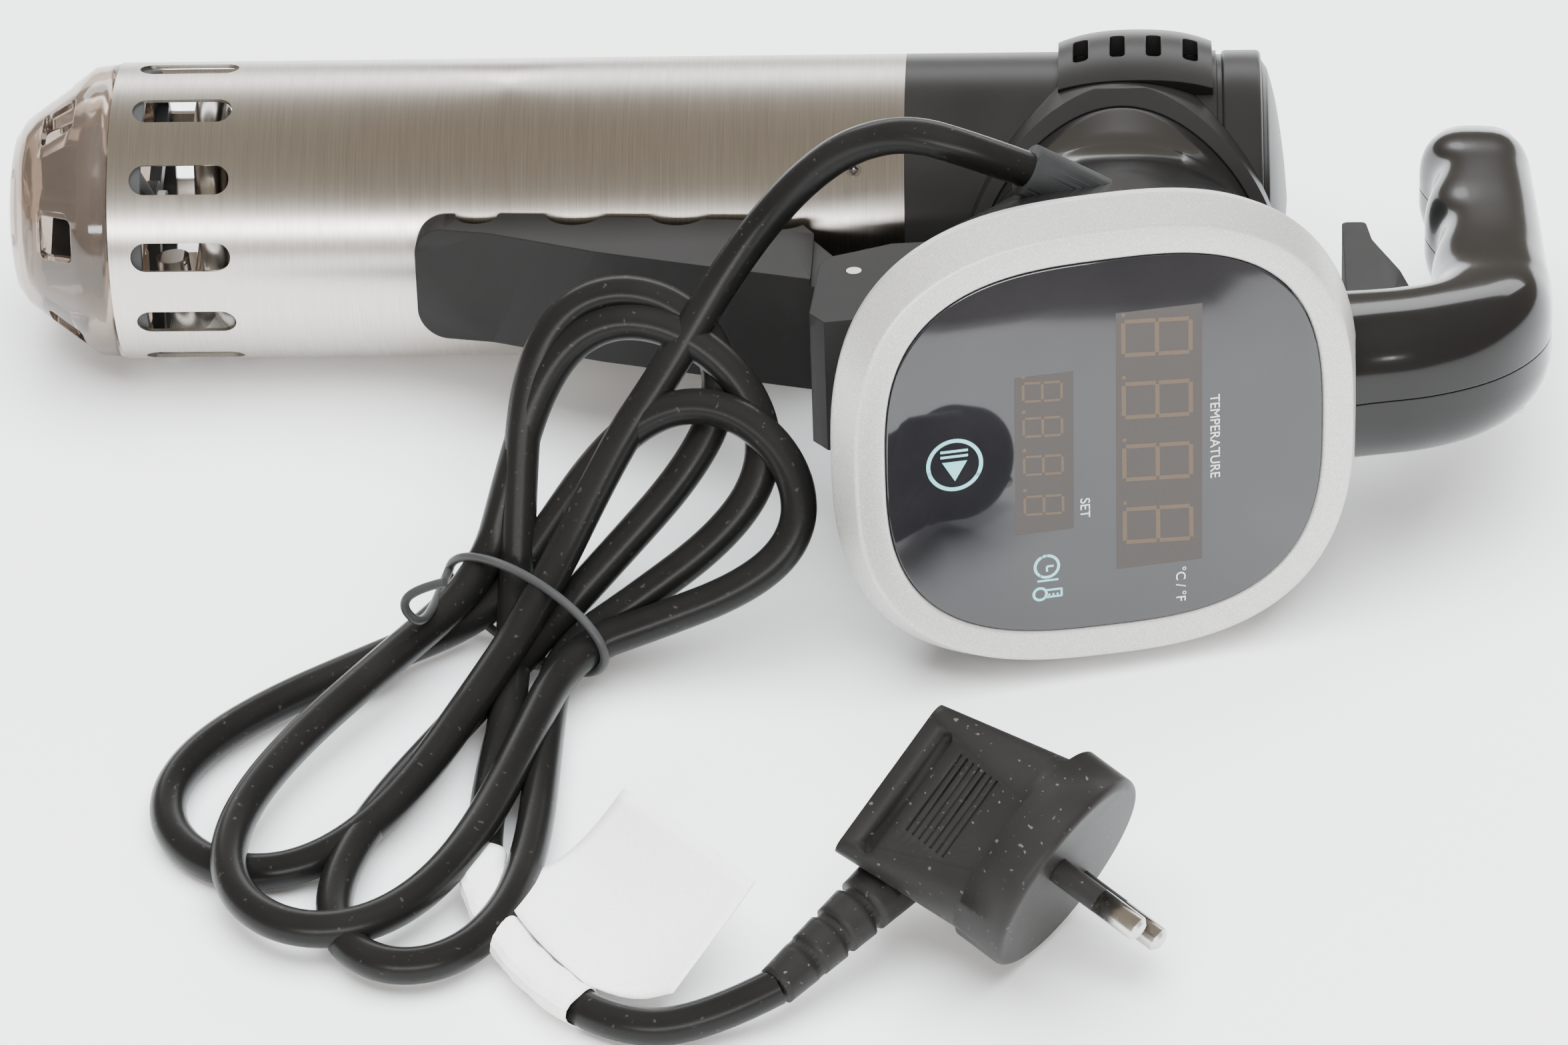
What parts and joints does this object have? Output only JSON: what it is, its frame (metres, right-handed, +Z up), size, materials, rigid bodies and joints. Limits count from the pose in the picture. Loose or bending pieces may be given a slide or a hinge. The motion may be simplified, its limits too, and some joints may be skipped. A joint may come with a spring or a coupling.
{
  "type": "sous vide circulator",
  "caption": "Immersion circulator with steel heating tube, tilted display head, pistol handle with trigger and pot clip, lying with its tied mains cord and plug.",
  "frame": {"origin": "bottom centre of the box around the circulator without its cord, on the table it lies on", "axes": "+X along the tube from the pump cap to the handle, +Z up, the display faces -Y"},
  "size_m": [0.3078, 0.252, 0.101],
  "materials": {
    "smoky_plastic": "smoky brown translucent",
    "brushed_steel": "brushed",
    "screw_steel": "machined",
    "satin_plastic": "satin",
    "gloss_plastic": "gloss",
    "matte_plastic": "matte",
    "inner_plastic": "satin",
    "bushing": "satin",
    "seal_rubber": "matte",
    "motor_metal": "satin",
    "board": "solder mask",
    "silver_paint": "fine sparkle satin",
    "display_glass": "smoked gloss",
    "led_module": "gloss",
    "cord_sheath": "semi gloss",
    "cord_tie": "satin",
    "paper": "paper",
    "plug_plastic": "dusty matte",
    "pin_metal": "nickel"
  },
  "bodies": {
    "frame": {"steel_sleeve": "brushed_steel", "heater_coil": "brushed_steel", "temperature_probe": "brushed_steel", "level_probes": "brushed_steel", "clip_pin": "brushed_steel", "trigger_pin": "brushed_steel", "clip_spring": "brushed_steel", "sleeve_screws": "screw_steel", "handle_screws": "screw_steel", "upper_housing": "satin_plastic", "vent_grille": "satin_plastic", "housing_end_ring": "satin_plastic", "housing_top_cap": "satin_plastic", "neck_collar": "satin_plastic", "head_back_shell": "gloss_plastic", "handle_left_shell": "gloss_plastic", "handle_right_shell": "gloss_plastic", "clip_yoke": "matte_plastic", "cap_ring": "inner_plastic", "bulkhead": "inner_plastic", "motor_mount": "inner_plastic", "shaft_bushing": "bushing", "bulkhead_seal": "seal_rubber", "display_gasket": "seal_rubber", "cable_gland": "seal_rubber", "motor_body": "motor_metal", "power_board": "board", "display_board": "board", "bezel_ring": "silver_paint", "display_glass": "display_glass", "led_module_large": "led_module", "led_module_small": "led_module", "cord_lead": "cord_sheath", "cord_tail": "cord_sheath", "cord_hank": "cord_sheath", "cord_tie": "cord_tie", "cord_label": "paper", "plug_body": "plug_plastic", "plug_strain_relief": "plug_plastic", "plug_pin_sleeves": "plug_plastic", "plug_pins": "pin_metal"},
    "rotor": {"drive_shaft": "brushed_steel", "impeller": "inner_plastic", "cooling_fan": "inner_plastic"},
    "pump_cap": {"pump_cap": "smoky_plastic"},
    "clip_lever": {"clip_lever": "matte_plastic"},
    "trigger": {"trigger": "matte_plastic"},
    "pull_rod": {"pull_rod": "brushed_steel"}
  },
  "joints": [
    {"name": "clip_hinge", "type": "hinge", "parent": "frame", "child": "clip_lever", "pos_m": [0.01812, -0.01285, 0.04059], "axis": [0, 0.1783, 0.984], "range_deg": [0, 14], "stiffness_Nm_per_rad": 0.6, "springref_deg": -20.05},
    {"name": "trigger_hinge", "type": "hinge", "parent": "frame", "child": "trigger", "pos_m": [0.12212, -0.03705, 0.04498], "axis": [0, -0.1783, -0.984], "range_deg": [0, 11.5]},
    {"name": "rod_slide", "type": "slide", "parent": "frame", "child": "pull_rod", "axis": [1, 0, 0], "range_m": [0, 0.0028]},
    {"name": "rotor_spin", "type": "hinge", "parent": "frame", "child": "rotor", "pos_m": [-0.05388, 0.0456, 0.03], "axis": [1, 0, 0], "continuous": true},
    {"name": "cap_twist", "type": "hinge", "parent": "frame", "child": "pump_cap", "pos_m": [-0.12988, 0.0456, 0.03], "axis": [1, 0, 0], "range_deg": [0, 30]}
  ],
  "couplings": [
    {"joint": "trigger_hinge", "follows": "clip_hinge", "ratio": 0.80882},
    {"joint": "rod_slide", "follows": "clip_hinge", "m_per_rad": 0.011}
  ]
}
